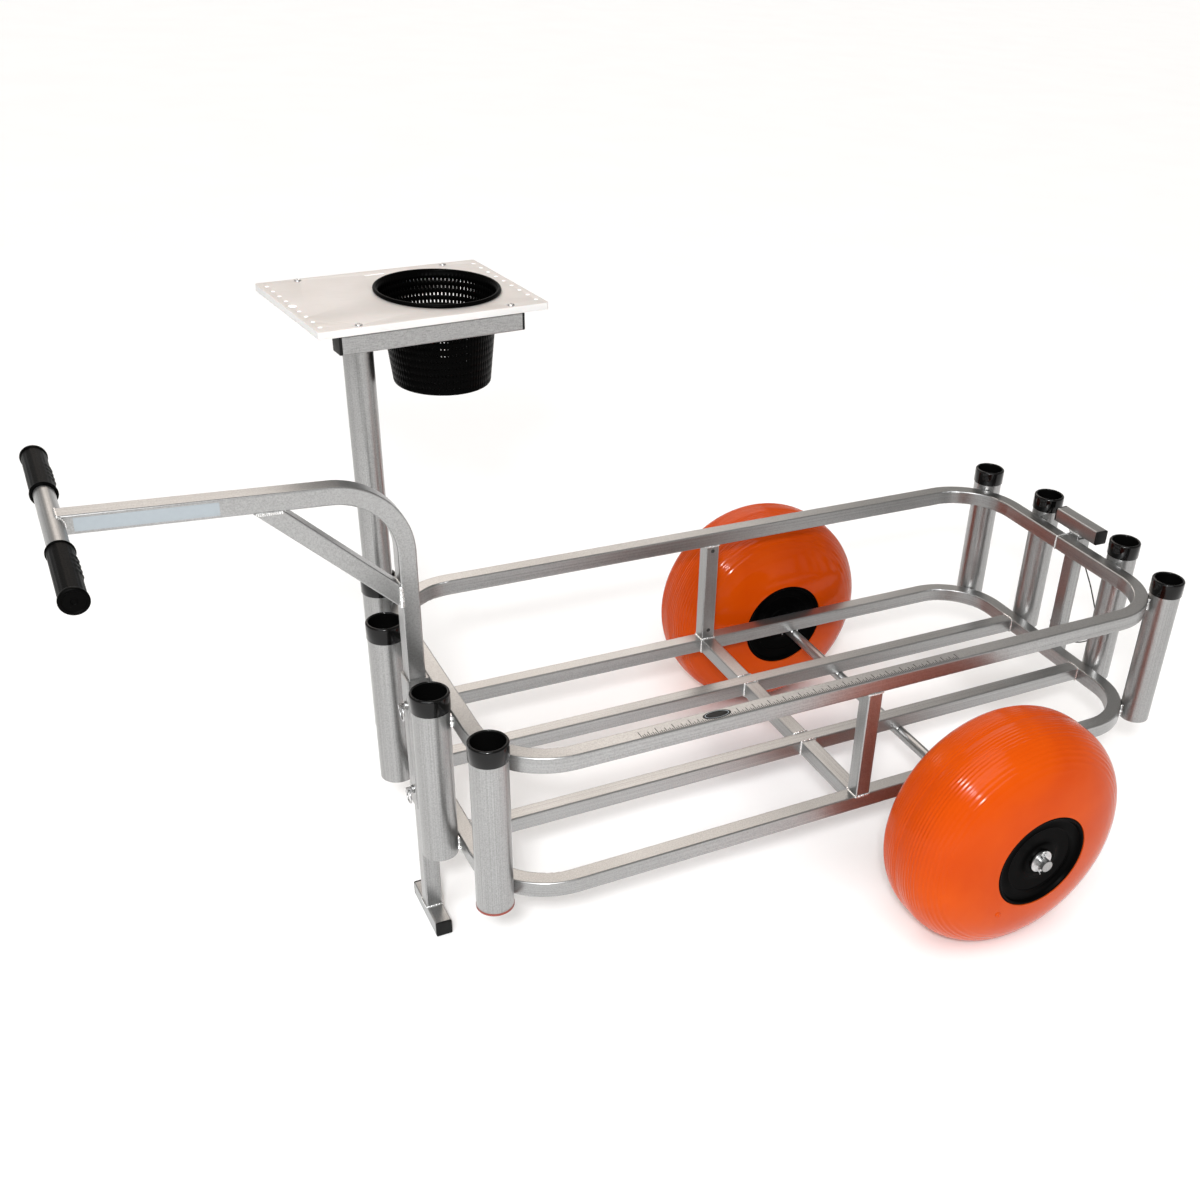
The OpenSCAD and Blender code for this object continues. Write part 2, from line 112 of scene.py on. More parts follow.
def fill_ramp(ramp, stops):
    """Gives a colour ramp its stops. Each is a place and a colour."""
    while len(ramp.elements) < len(stops):
        ramp.elements.new(0.5)
    for element, (place, colour) in zip(ramp.elements, stops):
        element.position = place
        element.color = (*colour, 1)


class Shader:
    """A Principled material and the few nodes that the recipes below share."""

    def __init__(self, name, **sockets):
        self.material = bpy.data.materials.new(name)
        self.material.use_nodes = True
        self.tree = self.material.node_tree
        self.bsdf = self.tree.nodes["Principled BSDF"]
        self.coords = self.tree.nodes.new("ShaderNodeTexCoord").outputs["Object"]
        for key, value in sockets.items():
            self.bsdf.inputs[key.replace("_", " ")].default_value = value

    def link(self, a, b):
        self.tree.links.new(a, b)

    def stretched(self, scale):
        mapping = self.tree.nodes.new("ShaderNodeMapping")
        mapping.inputs["Scale"].default_value = scale
        self.link(self.coords, mapping.inputs["Vector"])
        return mapping.outputs["Vector"]

    def noise(self, scale, detail=3.0, stretch=(1, 1, 1), distortion=0.0):
        node = self.tree.nodes.new("ShaderNodeTexNoise")
        node.inputs["Scale"].default_value = scale
        node.inputs["Detail"].default_value = detail
        node.inputs["Distortion"].default_value = distortion
        self.link(self.stretched(stretch), node.inputs["Vector"])
        return node.outputs["Fac"]

    def ramp(self, factor, *stops):
        node = self.tree.nodes.new("ShaderNodeValToRGB")
        fill_ramp(node.color_ramp, stops)
        self.link(factor, node.inputs["Fac"])
        return node.outputs["Color"]

    def mix(self, factor, a, b):
        node = self.tree.nodes.new("ShaderNodeMix")
        node.data_type = "RGBA"
        for socket, value in ((node.inputs[0], factor), (node.inputs[6], a), (node.inputs[7], b)):
            if isinstance(value, bpy.types.NodeSocket):
                self.link(value, socket)
            else:
                socket.default_value = (*value, 1) if isinstance(value, tuple) else value
        return node.outputs[2]

    def span(self, factor, low, high):
        node = self.tree.nodes.new("ShaderNodeMapRange")
        node.inputs["To Min"].default_value = low
        node.inputs["To Max"].default_value = high
        self.link(factor, node.inputs["Value"])
        return node.outputs["Result"]

    def bump(self, height, strength, distance=0.001):
        """Adds fine relief on top of whatever relief the material already has."""
        node = self.tree.nodes.new("ShaderNodeBump")
        node.inputs["Strength"].default_value = strength
        node.inputs["Distance"].default_value = distance
        self.link(height, node.inputs["Height"])
        before = self.bsdf.inputs["Normal"]
        if before.is_linked:
            self.link(before.links[0].from_socket, node.inputs["Normal"])
        self.link(node.outputs["Normal"], before)

    def colour(self, socket):
        self.link(socket, self.bsdf.inputs["Base Color"])

    def rough(self, socket):
        self.link(socket, self.bsdf.inputs["Roughness"])


def aluminium(name, grain, light=(0.40, 0.40, 0.40), dark=(0.27, 0.27, 0.265)):
    """Satin mill-finish tube: drawn lines along the grain, a fine sparkle and a few dull smudges."""
    m = Shader(name, Metallic=0.93)
    clouds = m.noise(5, 3, distortion=0.3)
    lines = m.noise(1, 5, stretch=grain)
    sparkle = m.noise(520, 2)
    tone = m.ramp(m.mix(0.45, lines, sparkle), (0.36, dark), (0.62, light))
    smudges = m.ramp(clouds, (0.45, (0, 0, 0)), (0.8, (0.35, 0.35, 0.35)))
    m.colour(m.mix(smudges, tone, dark))
    m.rough(m.span(m.mix(0.5, clouds, lines), 0.22, 0.40))
    m.bump(lines, 0.05, 0.0003)
    m.bump(sparkle, 0.10, 0.0002)
    return m.material


def weld_metal():
    """Bright, lightly rippled bead."""
    m = Shader("weld_bead_metal", Metallic=0.9)
    grain = m.noise(420, 4)
    m.colour(m.ramp(grain, (0.3, (0.60, 0.60, 0.59)), (0.75, (0.95, 0.95, 0.94))))
    m.rough(m.span(grain, 0.12, 0.34))
    m.bump(grain, 0.3, 0.0003)
    return m.material


def steel():
    """Zinc-plated steel with a fine spangle."""
    m = Shader("zinc_steel", Metallic=1.0)
    spangle = m.noise(260, 3)
    m.colour(m.ramp(spangle, (0.3, (0.40, 0.40, 0.41)), (0.7, (0.66, 0.66, 0.65))))
    m.rough(m.span(m.noise(60, 4), 0.18, 0.42))
    m.bump(spangle, 0.08, 0.0002)
    return m.material


def tyre_rubber():
    """Blown orange polyurethane: glossy skin, flow clouds and fine scuffs round the tread."""
    m = Shader("orange_balloon_rubber", IOR=1.2, Specular_IOR_Level=0.5)
    clouds = m.noise(5, 3, distortion=0.8)
    tone = m.ramp(clouds, (0.25, (0.44, 0.041, 0.0005)), (0.75, (0.55, 0.066, 0.0008)))
    scuffs = m.noise(38, 6, stretch=(1, 5, 1))
    streaks = m.noise(1, 4, stretch=(7, 300, 7), distortion=0.2)
    m.colour(m.mix(m.span(scuffs, 0, 0.04), tone, (0.66, 0.18, 0.03)))
    m.rough(m.span(scuffs, 0.05, 0.13))
    m.bump(streaks, 0.22, 0.0006)
    m.bump(m.noise(240, 3), 0.05, 0.0003)
    m.bump(m.noise(22, 2), 0.10, 0.001)
    return m.material


def black_plastic(name, low, high, grain=500, depth=0.1, coat=0.0, tone=0.006, ior=1.5):
    """Dark moulding between two roughnesses, with fine spots and a trace of dust."""
    m = Shader(name, IOR=ior, Specular_IOR_Level=0.12, Coat_Weight=coat, Coat_Roughness=0.08)
    spots = m.noise(grain, 3)
    dust = m.noise(14, 5)
    m.colour(m.ramp(dust, (0.35, (tone,) * 3), (0.8, (tone * 2.2, tone * 2.1, tone * 2.0))))
    m.rough(m.span(m.mix(0.5, spots, dust), low, high))
    m.bump(spots, depth, 0.0003)
    return m.material


def board_plastic(name, low, high, marks=0.35):
    """White cutting-board polyethylene, with a fine matt grain and faint knife strokes."""
    m = Shader(name, IOR=1.5, Subsurface_Weight=0.08, Subsurface_Scale=0.004)
    clouds = m.noise(11, 4)
    strokes = m.noise(1, 3, stretch=(30, 420, 30), distortion=0.5)
    tone = m.ramp(clouds, (0.3, low), (0.7, high))
    worn = m.ramp(strokes, (0.66, (0, 0, 0)), (0.74, (marks,) * 3))
    m.colour(m.mix(worn, tone, tuple(c * 0.85 for c in low)))
    m.rough(m.span(strokes, 0.42, 0.6))
    m.bump(strokes, 0.08, 0.0003)
    m.bump(m.noise(1500, 1), 0.08, 0.0002)
    return m.material


def flat_tone(name, colour, rough):
    """One plain colour with slightly darker spots, for marks, films, rims and the painted shade in the post's
    holes.
    """
    m = Shader(name)
    spots = m.noise(200, 3)
    m.colour(m.mix(m.span(spots, 0, 0.3), colour, tuple(c * 0.7 for c in colour)))
    m.rough(m.span(spots, rough, rough + 0.15))
    m.bump(spots, 0.05, 0.0002)
    return m.material


ALU_X = aluminium("aluminium_along_x", (3, 900, 900))
ALU_Y = aluminium("aluminium_along_y", (900, 3, 900))
ALU_Z = aluminium("aluminium_along_z", (900, 900, 3))
ALU_LOOP = aluminium("aluminium_bent_flat", (2, 2, 800))
ALU_HANDLE = aluminium("aluminium_bent_upright", (2, 800, 2))
WELD = weld_metal()
STEEL = steel()
TYRE = tyre_rubber()
VINYL = black_plastic("black_vinyl_cap", 0.12, 0.24, grain=90, depth=0.03, coat=0.3, tone=0.0015)
PLUG = black_plastic("black_plug_plastic", 0.35, 0.5)
HUB = black_plastic("black_hub_plastic", 0.24, 0.42, grain=350, depth=0.12, tone=0.0006, ior=1.16)
BUSH = black_plastic("dark_bush_plastic", 0.3, 0.45)
GRIP = black_plastic("black_grip_rubber", 0.30, 0.50, grain=500, depth=0.7, tone=0.0006, ior=1.22)
BASKET = black_plastic("black_basket_plastic", 0.2, 0.38, grain=300, tone=0.0006, ior=1.16)
CORD = black_plastic("black_lanyard_sleeve", 0.3, 0.5, grain=1500, depth=0.4)
BOARD = board_plastic("white_board_plastic", (0.515, 0.475, 0.445), (0.575, 0.535, 0.51))
# Painted highlight: the board's outer side faces get a lighter colour than its top.
BOARD_SIDE_HIGHLIGHT = board_plastic("board_side_painted_highlight", (0.60, 0.59, 0.58), (0.68, 0.67, 0.66), 0.1)
BOARD_HOLE = board_plastic("bored_board_hole", (0.88, 0.88, 0.88), (0.95, 0.95, 0.95), 0.1)
# Near-black: the ruler's marks, and also the painted shade in the post's holes.
MARK_AND_HOLE_SHADE = flat_tone("engraved_mark_and_hole_shade", (0.02, 0.02, 0.019), 0.6)
LABEL = flat_tone("label_film", (0.30, 0.335, 0.36), 0.3)
RIM = flat_tone("red_end_rim", (0.24, 0.045, 0.03), 0.35)


def paint(material, *names):
    """Puts a material on CAD nodes that are shown as they are."""
    for name in names:
        data = nodes[name].data
        data.materials.clear()
        data.materials.append(material)


for node in nodes:
    if node.startswith(("rod_holder", "mid_post", "bait_post", "stand_leg", "rear_stand_tube")):
        paint(ALU_Z, node)
    elif node.startswith(("cross_tube", "stand_foot", "rear_stand_foot", "handle_crossbar")):
        paint(ALU_Y, node)
    elif node.startswith(("floor_slat", "board_frame")):
        paint(ALU_X, node)
paint(ALU_Z, "front_receiver", "rear_sleeves")
paint(ALU_LOOP, "lower_loop", "upper_loop")
paint(ALU_HANDLE, "handle_tube", "handle_brace")
paint(ALU_Y, "axle")
paint(STEEL, "axle_washers", "cotter_pins", "rear_pin", "receiver_pin_upper", "receiver_pin_lower")
paint(STEEL, "pin_ring_upper", "pin_ring_lower", "board_screws")
paint(VINYL, "front_collars", "rear_collars")
paint(PLUG, "holder_stops", "stand_foot_plugs", "rear_stand_plugs", "board_frame_plugs")
paint(BUSH, "bushes_left", "bushes_right")
paint(HUB, "hub_left_outer", "hub_left_inner", "hub_right_outer", "hub_right_inner")


# ---------------------------------------------------------------- mesh helpers


class Mesh:
    """Vertices and faces that several shapes are added to before they become one piece."""

    def __init__(self):
        self.points = []
        self.faces = []

    def add(self, points, faces):
        base = len(self.points)
        self.points += [tuple(p) for p in points]
        self.faces += [[base + i for i in f] for f in faces]

    def loft(self, rings, joined=False):
        """Skins rings of equally many points. The last ring meets the first, or both ends are closed."""
        count, sides = len(rings), len(rings[0])
        faces = []
        for i in range(count if joined else count - 1):
            a, b = i * sides, (i + 1) % count * sides
            faces += [(a + k, a + (k + 1) % sides, b + (k + 1) % sides, b + k) for k in range(sides)]
        if not joined:
            faces.append(list(range(sides))[::-1])
            faces.append([(count - 1) * sides + k for k in range(sides)])
        self.add([p for ring in rings for p in ring], faces)

    def piece(self, name, body, material, slot, replaces=()):
        """Makes the object, which rides a body and may stand for CAD nodes."""
        data = bpy.data.meshes.new(name)
        data.from_pydata(self.points, [], self.faces)
        data.materials.append(material)
        data.validate()
        data.update()
        data.shade_smooth()
        data.set_sharp_from_angle(angle=math.radians(38))
        obj = bpy.data.objects.new(name, data)
        bpy.context.scene.collection.objects.link(obj)
        if body:
            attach(obj, body)
        if replaces:
            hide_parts(*replaces)
        return obj


def full_turn(count):
    """Evenly spaced angles once round."""
    return [2 * math.pi * k / count for k in range(count)]


def round_point(place, radius, angle, height):
    """A point given by its radius and angle about Z and its height along Z, put in place."""
    return place @ Vector((radius * math.cos(angle), radius * math.sin(angle), height))


def lathe(mesh, profile, place, segments=64):
    """Turns a closed profile of (radius, height) about Z and puts the ring in place."""
    turn = full_turn(segments)
    mesh.loft([[round_point(place, r, a, h) for a in turn] for r, h in profile], joined=True)


def box(mesh, low, high, place=Matrix()):
    """A block with a small chamfer on its twelve edges."""
    maker = bmesh.new()
    bmesh.ops.create_cube(maker, size=1)
    size = Vector(high) - Vector(low)
    for v in maker.verts:
        v.co = Vector(low) + (v.co + Vector((0.5, 0.5, 0.5))) * size
    edges, chamfer = maker.edges[:], min(size) * 0.15
    bmesh.ops.bevel(maker, geom=edges, offset=chamfer, segments=1, affect="EDGES", clamp_overlap=True)
    maker.verts.index_update()
    mesh.add([place @ v.co for v in maker.verts], [[v.index for v in f.verts] for f in maker.faces])
    maker.free()


def catmull_rom(a, b, c, d, t):
    """The point at share t of the way from b to c, on a smooth curve through all four."""
    linear = (c - a) * t
    square = (2 * a - 5 * b + 4 * c - d) * t ** 2
    cube = (3 * b - a - 3 * c + d) * t ** 3
    return 0.5 * (2 * b + linear + square + cube)


def smooth_path(points, step, closed=False):
    """Points on a smooth curve through the given ones, about one step apart."""
    points = [Vector(p) for p in points]
    count = len(points)
    out = []
    for i in range(count if closed else count - 1):
        near = [i - 1, i, i + 1, i + 2]
        around = [points[n % count] if closed else points[min(max(n, 0), count - 1)] for n in near]
        pieces = max(1, round((around[2] - around[1]).length / step))
        out += [catmull_rom(*around, k / pieces) for k in range(pieces)]
    return out if closed else out + [points[-1]]


def sweep(mesh, path, radius, sides=8, closed=False):
    """A round tube along a path. radius is a function of the distance along it."""
    count = len(path)
    along = 0.0
    normal = None
    rings = []
    for i, p in enumerate(path):
        before = path[i - 1] if i or closed else p
        after = path[(i + 1) % count] if closed or i < count - 1 else p
        tangent = (after - before).normalized()
        if normal is None:
            normal = tangent.orthogonal().normalized()
        normal = (normal - tangent * normal.dot(tangent)).normalized()
        side = tangent.cross(normal)
        along += (p - before).length if i else 0.0
        r = radius(along)
        rings.append([p + r * (math.cos(a) * normal + math.sin(a) * side) for a in full_turn(sides)])
    mesh.loft(rings, joined=closed)


def aim(centre, axis):
    """A place whose Z points along axis."""
    return Matrix.Translation(centre) @ Vector(axis).to_track_quat("Z", "Y").to_matrix().to_4x4()


# ---------------------------------------------------------------- welds

RIPPLE = 0.0026


def bead(mesh, points, radius=0.0021, closed=False):
    """A hand-laid weld bead: overlapping ripples of slightly uneven size."""
    path = smooth_path(points, RIPPLE / 4, closed)
    phase = rng.random() * 3
    swell = 0.85 + 0.3 * rng.random()

    def size(s):
        wave = abs(math.sin(math.pi * s / RIPPLE + phase))
        return radius * (0.78 + 0.22 * wave) * (1 + 0.12 * math.sin(s * 190 * swell + phase))

    sweep(mesh, path, size, sides=8, closed=closed)


def square_bead(mesh, centre, axis, half=TUBE / 2, radius=0.0020):
    """A bead all round the end of a square tube."""
    place = aim(centre, axis)
    side = [Vector((half, way * half * 0.75, 0)) for way in (-1, 1)]
    turns = [Matrix.Rotation(math.pi / 2 * quarter, 4, "Z") for quarter in range(4)]
    bead(mesh, [place @ turn @ corner for turn in turns for corner in side], radius, closed=True)


def floor_welds(mesh):
    """The ends of the floor slats, cross tubes and middle posts."""
    low_z = LOOP_LO.z + TUBE / 2
    for slat in ("floor_slat_left", "floor_slat_right"):
        for x in (LOOP_LO.x + TUBE, LOOP_HI.x - TUBE):
            square_bead(mesh, (x, middle(slat).y, low_z), (1, 0, 0))
    for tube in ("cross_tube_left", "cross_tube_middle", "cross_tube_right"):
        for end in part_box(tube):
            square_bead(mesh, (middle(tube).x, end.y, low_z), (0, 1, 0))
    for post in ("mid_post_left", "mid_post_right"):
        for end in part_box(post):
            square_bead(mesh, (middle(post).x, middle(post).y, end.z), (0, 0, 1))


def sleeve_welds(mesh):
    """Short upright beads beside the front receiver and the rear sleeves, at both loops."""
    low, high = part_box("front_receiver")
    gap, proud = 0.0006, 0.0008
    half = (high.y - low.y) / 2 + gap
    front = (LOOP_LO.x - proud, (LOOP_LO.z + 0.016, DECK_LO.z + 0.002), 0.009)
    rear = (LOOP_HI.x + proud, (LOOP_LO.z + 0.003, DECK_LO.z + 0.003), 0.019)
    for x, starts, length in (front, rear):
        for z in starts:
            for side in (-1, 1):
                bead(mesh, [(x, side * half, z), (x, side * half, z + length)])


def axle_welds(mesh):
    """Pairs of beads that hold the axle under the loop and the floor slats."""
    slats = [middle("floor_slat_left").y, middle("floor_slat_right").y]
    z, reach = LOOP_LO.z - 0.0012, 0.011
    for y in (LOOP_LO.y + TUBE / 2, *slats, LOOP_HI.y - TUBE / 2):
        for side in (-1, 1):
            x = middle("axle").x + side * 0.0055
            bead(mesh, [(x, y - reach, z), (x, y + reach, z)], 0.0024)


def frame_welds():
    """Every bead on the cart's own body."""
    mesh = Mesh()
    floor_welds(mesh)
    for node in nodes:
        if node.startswith("rod_holder"):
            holder_beads(mesh, node)
    sleeve_welds(mesh)
    leg, rear = middle("stand_leg"), middle("rear_stand_tube")
    square_bead(mesh, (leg.x, leg.y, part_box("stand_foot")[1].z), (0, 0, 1))
    square_bead(mesh, (rear.x, rear.y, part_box("rear_stand_foot")[0].z), (0, 0, 1))
    axle_welds(mesh)
    loop_joint = (LOOP_HI.x - TUBE / 2, 0.012, DECK_HI.z - TUBE / 2)
    square_bead(mesh, loop_joint, (0, 1, 0), half=TUBE / 2 - 0.0002, radius=0.0016)
    handle_welds(mesh)
    mesh.piece("frame_weld_beads", "cart", WELD, "aluminium")


def holder_beads(mesh, node):
    """Short upright beads in the notch on each side of a holder, at both loops."""
    centre = middle(node).xy.to_3d()
    outer = node.endswith("outer")
    core = Vector((MIDDLE_X, centre.y, 0))
    if outer:
        core.x += math.copysign(LOOP_HI.x - BEND_R - MIDDLE_X, centre.x - MIDDLE_X)
        core.y = math.copysign(LOOP_HI.y - BEND_R, centre.y)
    out = (centre - core).normalized()
    across = Vector((-out.y, out.x, 0))
    inward, sideways = (0.0258 if outer else 0.0252), 0.0085
    for z in (LOOP_LO.z, DECK_LO.z):
        for way in (-1, 1):
            spot = centre - out * inward + across * way * sideways
            bead(mesh, [spot + Vector((0, 0, z + 0.003)), spot + Vector((0, 0, z + 0.0225))], 0.0038)


def handle_welds(mesh):
    """The brace's two ends, and the arm's end round the cross bar."""
    low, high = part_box("handle_brace")
    post_x, half = high.x, 0.011
    for y in (-0.0129, 0.0129):
        bead(mesh, [(post_x, y, low.z + 0.002), (post_x, y, low.z + 0.034)], 0.0040)
        bead(mesh, [(low.x + 0.002, y, high.z - 0.001), (low.x + 0.035, y, high.z - 0.0022)], 0.0026)
    for x, z in ((post_x, low.z + 0.0355), (low.x + 0.0365, high.z - 0.0022)):
        bead(mesh, [(x, -half, z), (x, half, z)])
    bar = aim(middle("handle_crossbar"), (0, -1, 0))
    arc = [math.radians(a) for a in range(-64, 65, 16)]
    for along in (0.0128, -0.0128):
        bead(mesh, [round_point(bar, 0.0127, a, along) for a in arc], 0.0019)
    for angle in (math.radians(66), math.radians(-66)):
        bead(mesh, [round_point(bar, 0.0128, angle, along) for along in (0.0115, -0.0115)], 0.0019)


def board_welds():
    """A bead round the top of the board's post."""
    mesh = Mesh()
    post = middle("bait_post")
    place = Matrix.Translation((post.x, post.y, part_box("board_frame")[0].z - 0.0008))
    bead(mesh, [round_point(place, 0.0216, a, 0) for a in full_turn(18)], 0.0019, closed=True)
    mesh.piece("board_weld_bead", "bait_board", WELD, "aluminium")


frame_welds()
board_welds()


# ---------------------------------------------------------------- wheels

TYRE_R, TYRE_HALF, HUB_R = 0.200, 0.104, 0.082
TYRE_POWER = 2.7
TREAD_HALF, RIB_PITCH, RIB_SWELL = 0.088, 0.0058, 0.037


def tyre_profile():
    """Balloon outline from the hub's one side to the other, with fine ribs round the tread."""
    start = math.asin((HUB_R / TYRE_R) ** (TYRE_POWER / 2))
    steps = 340
    outline = []
    for i in range(steps + 1):
        t = start + (math.pi - 2 * start) * i / steps
        y = TYRE_HALF * math.copysign(abs(math.cos(t)) ** (2 / TYRE_POWER), math.cos(t))
        r = TYRE_R * math.sin(t) ** (2 / TYRE_POWER)
        tread = max(0.0, 1 - (abs(y) / TREAD_HALF) ** 8)
        rib = 0.5 - 0.5 * math.cos(2 * math.pi * y / RIB_PITCH)
        depth = 0.0008 + 0.0003 * math.cos(2 * math.pi * y / RIB_SWELL + 1)
        outline.append((r - depth * rib * tread, y))
    return outline + [(HUB_R, outline[-1][1]), (HUB_R, outline[0][1])]


def hub_profile():
    """One hub face from the boss to its rim: shallow dish, two raised rings, rounded lip."""
    boss = [(0.0142, 0.0), (0.0142, 0.0948), (0.0150, 0.0953), (0.0250, 0.0953), (0.0290, 0.0951)]
    inner_ring = [(0.0306, 0.0944), (0.0318, 0.0932), (0.0330, 0.0926), (0.0400, 0.0926)]
    outer_ring = [(0.0572, 0.0930), (0.0578, 0.0936), (0.0586, 0.0938), (0.0594, 0.0936), (0.0600, 0.0932)]
    dish = [(0.0700, 0.0934), (0.0735, 0.0938), (0.0752, 0.0950), (0.0762, 0.0972)]
    lip = [(0.0770, 0.0990), (0.0782, 0.0999), (0.0798, 0.1000), (0.0813, 0.0992)]
    return boss + inner_ring + outer_ring + dish + lip + [(HUB_R, 0.0978), (HUB_R, 0.0)]


def valve(name, centre, out):
    """A small plug with a dimple, standing in the hub's outer face."""
    spot = middle(f"valve_{name}")
    top = max(abs(corner.y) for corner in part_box(f"valve_{name}")) - abs(centre.y)
    foot = top - 0.006
    stem = [(0.0044, foot), (0.0044, top - 0.0008), (0.0038, top), (0.0022, top - 0.0002)]
    dimple = [(0.0016, top - 0.0012), (0.0003, top - 0.0014), (0.0003, foot)]
    place = Matrix.Translation((spot.x - centre.x, 0, spot.z - centre.z)) @ out
    mesh = Mesh()
    lathe(mesh, stem + dimple, place, segments=28)
    mesh.piece(f"valve_plug_{name}", f"wheel_{name}", TYRE, "orange_tyre", [f"valve_{name}"])


def wheel(name, side):
    """The tyre, the two hub faces and the valve of one wheel. side is -1 on the left."""
    body = f"wheel_{name}"
    centre = middle(f"tyre_{name}")
    out, back = aim(centre, (0, side, 0)), aim(centre, (0, -side, 0))
    tyre = Mesh()
    lathe(tyre, tyre_profile(), out, segments=192)
    tyre.piece(f"balloon_tyre_{name}", body, TYRE, "orange_tyre", [f"tyre_{name}"])
    for label, place in (("outer", out), ("inner", back)):
        hub = Mesh()
        lathe(hub, hub_profile(), place, segments=128)
        hub.piece(f"wheel_hub_{name}_{label}", body, HUB, "hub_plastic", [f"hub_{name}_{label}"])
    valve(name, centre, out)


wheel("left", -1)
wheel("right", 1)


# ---------------------------------------------------------------- handle grips

FINGER_BUMPS = (0.030, 0.043, 0.056, 0.069)


def hill(offset, width):
    """A smooth hill, 1 high where offset is 0."""
    return math.exp(-((offset / width) ** 2))


def grip_radius(s, length, angle, rear_angle):
    """The grip's radius at distance s from its inner end, at an angle round it."""
    roll = 0.0017 * hill(s - 0.0022, 0.0016)
    cap = 0.0016 / (1 + math.exp(-(s - (length - 0.0065)) / 0.0006))
    rounding = max(0.0, s - (length - 0.0016)) ** 2 * 620
    away = abs((angle - rear_angle + math.pi) % (2 * math.pi) - math.pi)
    bumps = 0.0015 * hill(away, 0.62) * sum(hill(s - centre, 0.0042) for centre in FINGER_BUMPS)
    flute = 0.00022 * math.cos(18 * angle) * (0.006 < s < length - 0.009)
    return 0.0147 + roll + cap + bumps + flute - rounding


def grip(name, side):
    """A moulded grip: fine flutes, finger bumps on the rear side, rolled ends and a closed cap."""
    low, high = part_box(name)
    centre = (low + high) / 2
    length = high.y - low.y
    place = aim((centre.x, side * (abs(centre.y) - length / 2), centre.z), (0, side, 0))
    rear = place.inverted().to_3x3() @ Vector((1, 0, 0))
    rear_angle = math.atan2(rear.y, rear.x)
    steps, turn = 140, full_turn(72)

    def level(radius, s):
        return [round_point(place, radius, a, s) for a in turn]

    sleeve = []
    for i in range(steps + 1):
        s = length * i / steps
        sleeve.append([round_point(place, grip_radius(s, length, a, rear_angle), a, s) for a in turn])
    dimple = [level(0.0128, length), level(0.0118, length - 0.0009)]
    dimple += [level(0.0040, length - 0.0012), level(0.0030, length - 0.0022)]
    mesh = Mesh()
    mesh.loft([level(0.0126, 0), *sleeve, *dimple])
    mesh.piece(f"moulded_{name}", "cart", GRIP, "grip_rubber", [name])


grip("grip_left", -1)
grip("grip_right", 1)


# ---------------------------------------------------------------- basket

WALL_THICK = 0.0020
COLUMNS, SLOT_SHARE = 90, 0.29
FLOOR_RINGS = 8


def basket_outline(top, low_z, top_r, base_r):
    """Rings of the wall and base, from under the rim to the middle. Each is (radius, height, open below)."""
    rows, foot, lip = 12, 0.003, 0.006
    reach = top - low_z
    wall_end = low_z + foot

    def wall(z, is_open=False):
        return (top_r + (base_r - top_r) * (top - z) / reach, z, is_open)

    pitch = (top - lip - wall_end) / rows
    rings = [wall(top)]
    for row in range(rows):
        z = top - lip - pitch * row
        rings += [wall(z - pitch * 0.32, True), wall(z - pitch * 0.70)]
    turn_r = wall(wall_end)[0]
    for step in range(5):
        angle = math.radians(22.5 * step)
        rings.append((turn_r - foot * (1 - math.cos(angle)), wall_end - foot * math.sin(angle), False))
    floor_r = turn_r - foot - 0.005
    return rings + [(floor_r - 0.006 * i, low_z, i % 2 == 0) for i in range(FLOOR_RINGS)]


def slotted_skin(outline, place):
    """The basket's wall and base as one thin sheet. Open rings keep only the bars between their slots."""
    around = [2 * math.pi * (k // 2 + SLOT_SHARE * (k % 2)) / COLUMNS for k in range(COLUMNS * 2)]
    count, last = len(around), len(outline) - 1
    faces = []
    for j in range(last):
        for k in range(count):
            is_bar = k % 2 == 1
            is_spoke = j >= last + 1 - FLOOR_RINGS and k // 2 % 3 == 0
            if is_bar or is_spoke or not outline[j][2]:
                n = (k + 1) % count
                faces.append((j * count + k, (j + 1) * count + k, (j + 1) * count + n, j * count + n))
    faces.append([last * count + k for k in range(count)])
    sheet = Mesh()
    sheet.add([round_point(place, r, a, z) for r, z, _ in outline for a in around], faces)
    return sheet


def basket():
    """A slotted basket: a rolled rim, a wall of small slots, a rounded foot and a slotted base."""
    low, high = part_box("basket")
    centre = (low + high) / 2
    place = Matrix.Translation((centre.x, centre.y, 0))
    rim_r, rim_half = (high.x - low.x) / 2, 0.0028
    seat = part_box("bait_board")[1].z + 0.0003
    rim_z = (seat + high.z) / 2
    rise = high.z - rim_z
    rim = Mesh()
    section = [(rim_r - rim_half * (1 - math.cos(a)), rim_z + rise * math.sin(a)) for a in full_turn(15)]
    lathe(rim, section, place, 128)
    rim.piece("basket_rim", "basket", BASKET, "basket_plastic", ["basket"])

    half = WALL_THICK / 2
    outline = basket_outline(rim_z, low.z + half, rim_r - 0.0045 - half, rim_r - 0.0195 - half)
    piece = slotted_skin(outline, place).piece("basket_wall", "basket", BASKET, "basket_plastic")
    solid = piece.modifiers.new("wall", "SOLIDIFY")
    solid.thickness = WALL_THICK
    solid.offset = 0
    apply_modifiers(piece)


def apply_modifiers(obj):
    """Replaces a piece's mesh with the one its modifiers make."""
    bpy.context.view_layer.update()
    done = bpy.data.meshes.new_from_object(obj.evaluated_get(bpy.context.evaluated_depsgraph_get()))
    obj.modifiers.clear()
    obj.data = done


basket()


# ---------------------------------------------------------------- softened copies of CAD parts


